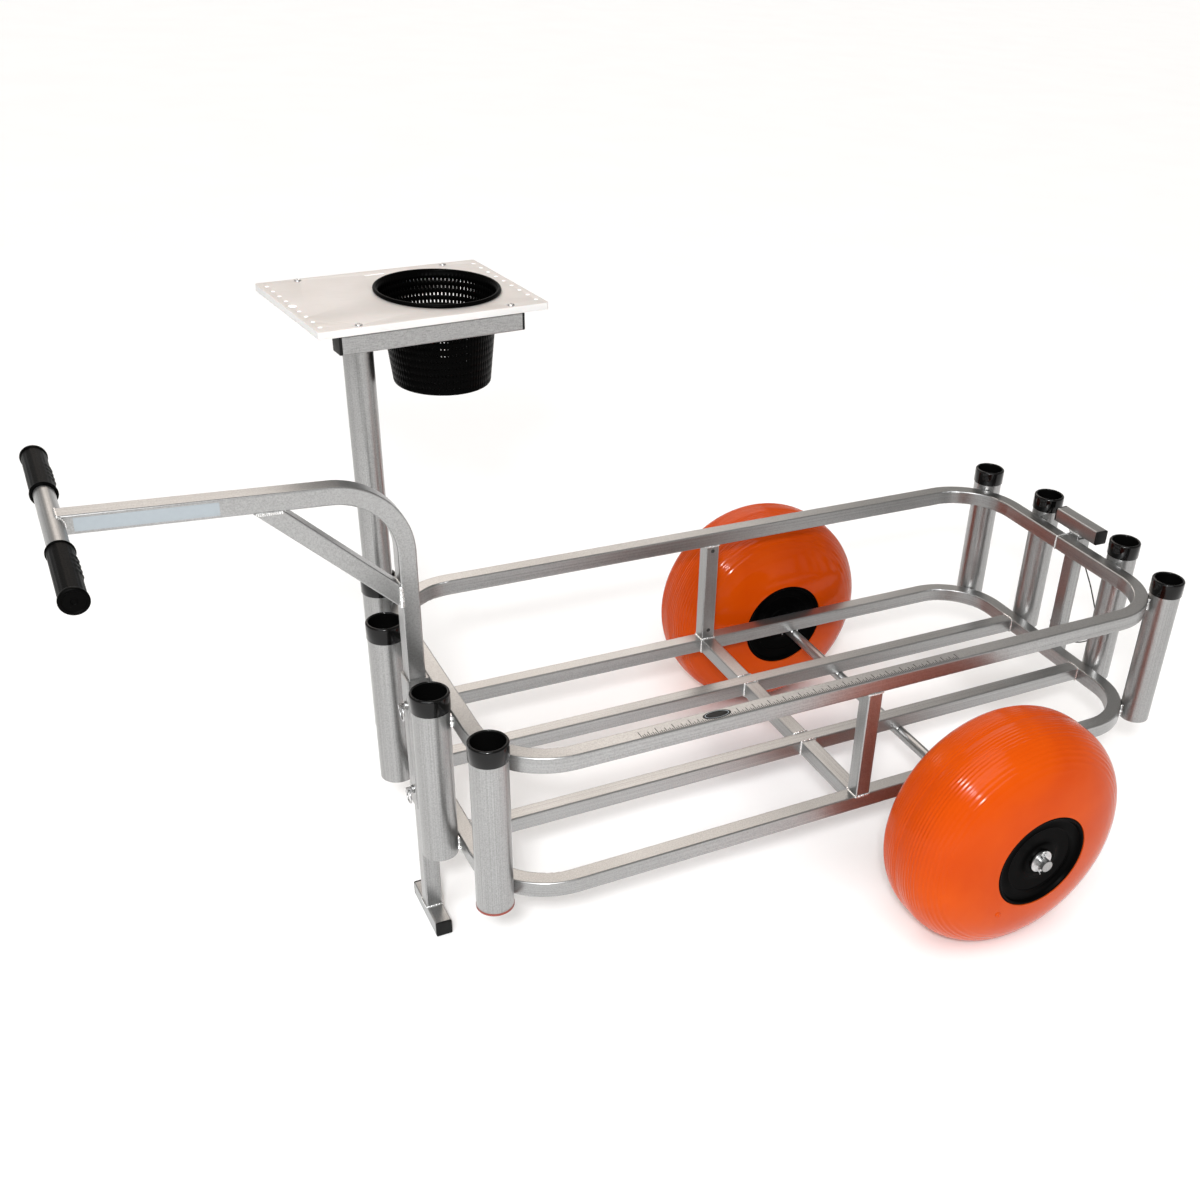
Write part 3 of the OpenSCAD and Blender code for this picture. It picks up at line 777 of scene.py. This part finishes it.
def softened(node, width, material, segments=2):
    """A copy of a CAD node with its sharp edges rounded, which stands for the node."""
    copy = nodes[node].data.copy()
    maker = bmesh.new()
    maker.from_mesh(copy)
    bmesh.ops.remove_doubles(maker, verts=maker.verts, dist=1e-6)
    bmesh.ops.dissolve_limit(maker, angle_limit=math.radians(1), verts=maker.verts, edges=maker.edges)
    maker.to_mesh(copy)
    maker.free()
    obj = bpy.data.objects.new(f"rounded_{node}", copy)
    bpy.context.scene.collection.objects.link(obj)
    bevel = obj.modifiers.new("round", "BEVEL")
    bevel.width = width
    bevel.segments = segments
    bevel.limit_method = "ANGLE"
    bevel.angle_limit = math.radians(35)
    bevel.use_clamp_overlap = True
    apply_modifiers(obj)
    obj.data.materials.clear()
    obj.data.materials.append(material)
    obj.data.shade_smooth()
    obj.data.set_sharp_from_angle(angle=math.radians(30))
    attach(obj, nodes[node]["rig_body"])
    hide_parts(node)
    return obj


def board_top():
    """The board. Its outer side faces are coloured lighter than its worn faces, a painted highlight; the
    walls of its holes are whiter still.
    """
    data = softened("bait_board", 0.0009, BOARD, 3).data
    data.materials.append(BOARD_SIDE_HIGHLIGHT)
    data.materials.append(BOARD_HOLE)
    corners = [pick(data.vertices, key=lambda v: v.co[axis]).co for axis in (0, 1) for pick in (min, max)]
    on_edge = 0.003
    for face in data.polygons:
        if abs(face.normal.z) < 0.5:
            beyond = max((corner - face.center).dot(face.normal) for corner in corners)
            # Outer side faces take the painted highlight colour; hole walls take the whiter hole colour.
            face.material_index = 1 if beyond < on_edge else 2


board_top()
softened("front_receiver", 0.0012, ALU_Z)
softened("rear_sleeves", 0.0012, ALU_Z)
softened("stand_foot_plugs", 0.0012, PLUG, 3)
softened("rear_stand_plugs", 0.0012, PLUG, 3)
softened("board_frame_plugs", 0.0012, PLUG, 3)


# ---------------------------------------------------------------- board screws


def islands(maker):
    """The separate groups of joined vertices, in the same order each run."""
    seen = set()
    for start in maker.verts:
        if start in seen:
            continue
        seen.add(start)
        island = [start]
        for v in island:
            for edge in v.link_edges:
                other = edge.other_vert(v)
                if other not in seen:
                    seen.add(other)
                    island.append(other)
        yield island


def screws():
    """Pan heads with a cross recess, where the CAD screws stand."""
    high_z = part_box("board_screws")[1].z
    maker = bmesh.new()
    maker.from_mesh(nodes["board_screws"].data)
    bmesh.ops.remove_doubles(maker, verts=maker.verts, dist=1e-6)
    mesh = Mesh()
    for island in islands(maker):
        xs = [v.co.x for v in island]
        ys = [v.co.y for v in island]
        screw(mesh, Vector(((min(xs) + max(xs)) / 2, (min(ys) + max(ys)) / 2, high_z)))
    maker.free()
    mesh.piece("pan_head_screws", "bait_board", STEEL, "steel", ["board_screws"])


def screw(mesh, top):
    """One screw: a domed head on a plain shank, with its cross at a chance angle."""
    dome = [(0.0004, -0.0011), (0.0016, -0.0011), (0.0018, -0.0002), (0.0030, -0.0003), (0.0042, -0.0008)]
    rim = [(0.0049, -0.0016), (0.0050, -0.0025), (0.0024, -0.0025)]
    shank = [(0.0024, -0.012), (0.0004, -0.012)]
    lathe(mesh, dome + rim + shank, Matrix.Translation(top), segments=32)
    turn = Matrix.Translation(top) @ Matrix.Rotation(rng.random() * 3, 4, "Z")
    for quarter in range(2):
        cross = turn @ Matrix.Rotation(math.pi / 2 * quarter, 4, "Z")
        box(mesh, (-0.0026, -0.0003, -0.0012), (0.0026, 0.0003, -0.00005), cross)


screws()


# ---------------------------------------------------------------- small parts on the frame

INCH = 0.0254
RULED_INCHES = 21


def ruler():
    """Inch marks engraved along the top of the left upper rail, without figures."""
    mesh = Mesh()
    mark_lengths = (0.0135, 0.0042, 0.0065, 0.0042, 0.0095, 0.0042, 0.0065, 0.0042)
    start, outer_y, top = MIDDLE_X - 0.390, LOOP_LO.y + 0.0026, DECK_HI.z
    for i in range(RULED_INCHES * 8 + 1):
        x = start + i * INCH / 8
        inner_y = outer_y + mark_lengths[i % 8]
        box(mesh, (x - 0.0006, outer_y, top - 0.0001), (x + 0.0006, inner_y, top + 0.00012))
    end = start + RULED_INCHES * INCH
    box(mesh, (start, outer_y - 0.0003, top - 0.0001), (end, outer_y, top + 0.0001))
    mesh.piece("ruler_marks", "cart", MARK_AND_HOLE_SHADE, "aluminium")


def sticker():
    """A plain oval sticker over the ruler marks, without figures or letters."""
    spot = Vector((MIDDLE_X - 0.270, LOOP_LO.y + TUBE / 2, DECK_HI.z))
    oval = Matrix.Translation(spot) @ Matrix.Diagonal((1, 0.42, 1, 1))
    plate, line = Mesh(), Mesh()
    face, bevel = [(0.0003, 0.0003), (0.0216, 0.0003)], [(0.0220, 0.0001)]
    lathe(plate, face + bevel + [(0.0220, -0.0002), (0.0003, -0.0002)], oval)
    lathe(line, [(0.0176, 0.00045), (0.0186, 0.00045), (0.0186, 0.0002), (0.0176, 0.0002)], oval)
    plate.piece("oval_sticker", "cart", PLUG, "plug_plastic")
    line.piece("sticker_line", "cart", LABEL, "plug_plastic")


def label():
    """A plain film label on the handle arm's left side."""
    mesh = Mesh()
    bar = middle("handle_crossbar")
    arm_slope = math.radians(2.3)
    place = Matrix.Translation((bar.x, 0, bar.z)) @ Matrix.Rotation(arm_slope, 4, "Y")
    box(mesh, (0.0215, -0.01292, -0.0085), (0.183, -0.0126, 0.0085), place)
    mesh.piece("arm_label", "cart", LABEL, "plug_plastic")


def post_holes():
    """Two small drilled holes in the inner face of the right middle post, drawn as near-black discs with a
    raised edge: painted shade for their insides.
    """
    mesh = Mesh()
    inner_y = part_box("mid_post_right")[0].y
    hole_shade_and_burr = [(0.0001, 0.0001), (0.0024, 0.0001), (0.0030, 0.0003), (0.0036, 0.0002), (0.0036, -0.0004)]
    for z in (0.414, 0.253):
        place = aim((middle("mid_post_right").x, inner_y, z), (0, -1, 0))
        # A near-black disc stands for each hole: painted shade inside the post.
        lathe(mesh, hole_shade_and_burr + [(0.0001, -0.0004)], place, 28)
    mesh.piece("post_hole_shade_discs", "cart", MARK_AND_HOLE_SHADE, "aluminium")


def end_rim():
    """A thin coloured rim on the lower end of the left front corner holder."""
    mesh = Mesh()
    centre = middle("rod_holder_front_left_outer")
    place = Matrix.Translation((centre.x, centre.y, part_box("rod_holder_front_left_outer")[0].z))
    outside = [(0.0262, 0.0022), (0.0266, 0.0016), (0.0266, -0.0012), (0.0258, -0.0018)]
    inside = [(0.0236, -0.0018), (0.0232, -0.0010), (0.0232, -0.0001), (0.0261, -0.0001)]
    lathe(mesh, outside + inside, place)
    mesh.piece("holder_end_rim", "cart", RIM, "plug_plastic")


def cotter_legs():
    """The bent legs of the four cotter pins, one pair on each side of each wheel."""
    mesh = Mesh()
    axle = middle("axle")
    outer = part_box("cotter_pins")[1].y - 0.0055
    inner = 2 * middle("tyre_right").y - outer
    foot = axle.z - 0.0162
    for y in (-outer, outer, -inner, inner):
        bend = 0.004 if abs(y) == outer else 0.003
        for way in (-1, 1):
            knee = (axle.x, y + way * bend * 0.3, foot - 0.003)
            tip = (axle.x + way * 0.001, y + way * bend * 1.4, foot - 0.0055)
            sweep(mesh, smooth_path([(axle.x, y, foot), knee, tip], 0.0008), lambda s: 0.0011, sides=10)
    mesh.piece("cotter_legs", "cart", STEEL, "steel")


ruler()
sticker()
label()
post_holes()
end_rim()
cotter_legs()


def collars(end):
    """Dipped vinyl caps: each is rolled over its holder's rim and into the mouth, where a thin black sheet
    runs 36 mm down the bore as painted shade.
    """
    roll = [math.radians(a) for a in range(0, 91, 15)]
    crown = [(0.0246 + 0.0030 * math.cos(a), -0.0006 + 0.0030 * math.sin(a)) for a in roll]
    # The cap's lip turns into the mouth; the thin black sheet below it is painted shade inside the bore.
    lip_and_bore_shade = [(0.0240, 0.0023), (0.02345, 0.0018), (0.0231, 0.0008), (0.02305, -0.036), (0.02318, -0.036)]
    skirt = [(0.02318, 0.0), (0.0260, 0.0), (0.0260, -0.0242), (0.0274, -0.0242), (0.0276, -0.0238)]
    mesh = Mesh()
    for node in nodes:
        if node.startswith(f"rod_holder_{end}"):
            centre = middle(node)
            place = Matrix.Translation((centre.x, centre.y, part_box(node)[1].z))
            lathe(mesh, crown + lip_and_bore_shade + skirt, place)
    mesh.piece(f"{end}_collar_caps_and_bore_shade", "cart", VINYL, "black_vinyl", [f"{end}_collars"])


collars("front")
collars("rear")


# ---------------------------------------------------------------- lanyard

LANYARD = [
    (618, -13, 420), (620, -17, 414), (623, -24, 402), (627, -33, 384), (632, -42, 364),
    (636, -50, 344), (640, -57, 324), (643, -64, 305), (646, -69, 286), (646, -69, 270),
    (643, -63, 257), (638, -54, 248), (632, -44, 242), (626, -34, 240), (621, -26, 242),
    (618.5, -22, 247), (618, -21, 252.8),
]


def lanyard():
    """A sleeved cable from a screw on the rear tube to an eye through the rear pin's tab."""
    points = [Vector((MIDDLE_X + x / 1000, y / 1000, z / 1000)) for x, y, z in LANYARD]
    cord = Mesh()
    sweep(cord, smooth_path(points, 0.0022), lambda s: 0.0012 + 0.00006 * math.sin(s * 5200), sides=12)
    piece = cord.piece("lanyard_cable", None, CORD, "lanyard_cord", ["lanyard"])
    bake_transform(piece)
    lanyard_eye(points)
    lanyard_screw(points[0])


def lanyard_eye(points):
    """The wire ring through the tab's hole, and the crimp on the cable's end."""
    eye = Mesh()
    tab, radius = middle("rear_pin"), 0.0038
    hole = Vector((tab.x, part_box("rear_pin")[0].y + 0.004, tab.z + 0.0006))
    ring = [hole + radius * Vector((0, math.sin(a), math.cos(a) - 1)) for a in full_turn(15)]
    sweep(eye, ring, lambda s: 0.0007, sides=10, closed=True)
    crimp = aim(points[-1] + Vector((0, 0, -0.0042)), points[-1] - points[-3])
    lathe(eye, [(0.0013, -0.002), (0.0021, -0.0016), (0.0021, 0.004), (0.0013, 0.0044)], crimp, 24)
    eye.piece("lanyard_eye", "rear_pin", STEEL, "steel")


def lanyard_screw(start):
    """The screw head that holds the cable's upper end."""
    head = Mesh()
    dome = [(0.0002, 0.0032), (0.0022, 0.0030), (0.0036, 0.0020), (0.0040, 0.0010)]
    place = aim((start.x, -TUBE / 2, start.z + 0.001), (0, -1, 0))
    lathe(head, dome + [(0.0040, -0.0002), (0.0002, -0.0002)], place, 32)
    head.piece("lanyard_screw", "cart", STEEL, "steel")


lanyard()


# ---------------------------------------------------------------- floor, light


def softbox(name, place, target, size, power):
    """A rectangular lamp that looks at a target."""
    data = bpy.data.lights.new(name, "AREA")
    data.shape = "RECTANGLE"
    data.size, data.size_y = size
    data.energy = power
    hang(data, Vector(target) - Vector(place)).location = place


def distant(name, heading, strength, spread, colour):
    """A far, wide light. spread is how many degrees of the sky it fills."""
    data = bpy.data.lights.new(name, "SUN")
    data.energy = strength
    data.angle = math.radians(spread)
    data.color = colour
    hang(data, Vector(heading))


def hang(data, heading):
    """Puts a lamp into the scene, shining along heading."""
    lamp = bpy.data.objects.new(data.name, data)
    lamp.rotation_euler = heading.to_track_quat("-Z", "Y").to_euler()
    bpy.context.scene.collection.objects.link(lamp)
    return lamp


def floor():
    """A pale floor that is bright enough to look white from everywhere."""
    m = Shader("pale_floor", Roughness=0.9, Specular_IOR_Level=0.05)
    m.colour(m.ramp(m.noise(2.5, 2), (0.3, (0.96, 0.96, 0.96)), (0.7, (0.98, 0.98, 0.98))))
    m.bump(m.noise(60, 2), 0.02)
    edge = 60
    corners = [(-edge, -edge, 0), (edge, -edge, 0), (edge, edge, 0), (-edge, edge, 0)]
    data = bpy.data.meshes.new("floor")
    data.from_pydata(corners, [], [(0, 1, 2, 3)])
    data.materials.append(m.material)
    ground = bpy.data.objects.new("floor", data)
    ground.location.z = -0.0006
    bpy.context.scene.collection.objects.link(ground)


def sky():
    """A bright horizon under a darker dome, so the tubes have something to mirror."""
    world = bpy.data.worlds.new("studio")
    bpy.context.scene.world = world
    world.use_nodes = True
    tree = world.node_tree
    coords = tree.nodes.new("ShaderNodeTexCoord")
    split = tree.nodes.new("ShaderNodeSeparateXYZ")
    ramp = tree.nodes.new("ShaderNodeValToRGB")
    tree.links.new(coords.outputs["Generated"], split.inputs["Vector"])
    tree.links.new(split.outputs["Z"], ramp.inputs["Fac"])
    tree.links.new(ramp.outputs["Color"], tree.nodes["Background"].inputs["Color"])
    horizon, low_sky = (0.0, (1.0, 1.0, 0.99)), (0.07, (0.80, 0.80, 0.80))
    high_sky, dome = (0.34, (0.42, 0.40, 0.38)), (0.8, (0.28, 0.27, 0.26))
    fill_ramp(ramp.color_ramp, (horizon, low_sky, high_sky, dome))


def studio():
    """Everything round the cart: floor, sky, two wide suns and a camera flash."""
    floor()
    sky()
    distant("left_sun", (0.45, 0.60, -1.05), 2.0, 50, (0.95, 0.98, 1.0))
    distant("back_sun", (-0.20, -1.00, -0.92), 0.95, 42, (1.0, 0.90, 0.82))
    softbox("flash", (-1.15, -2.0, 2.05), (0.1, 0, 0.4), (0.26, 0.18), 46)
    bpy.context.scene.view_settings.view_transform = "Standard"


studio()

bpy.context.view_layer.update()
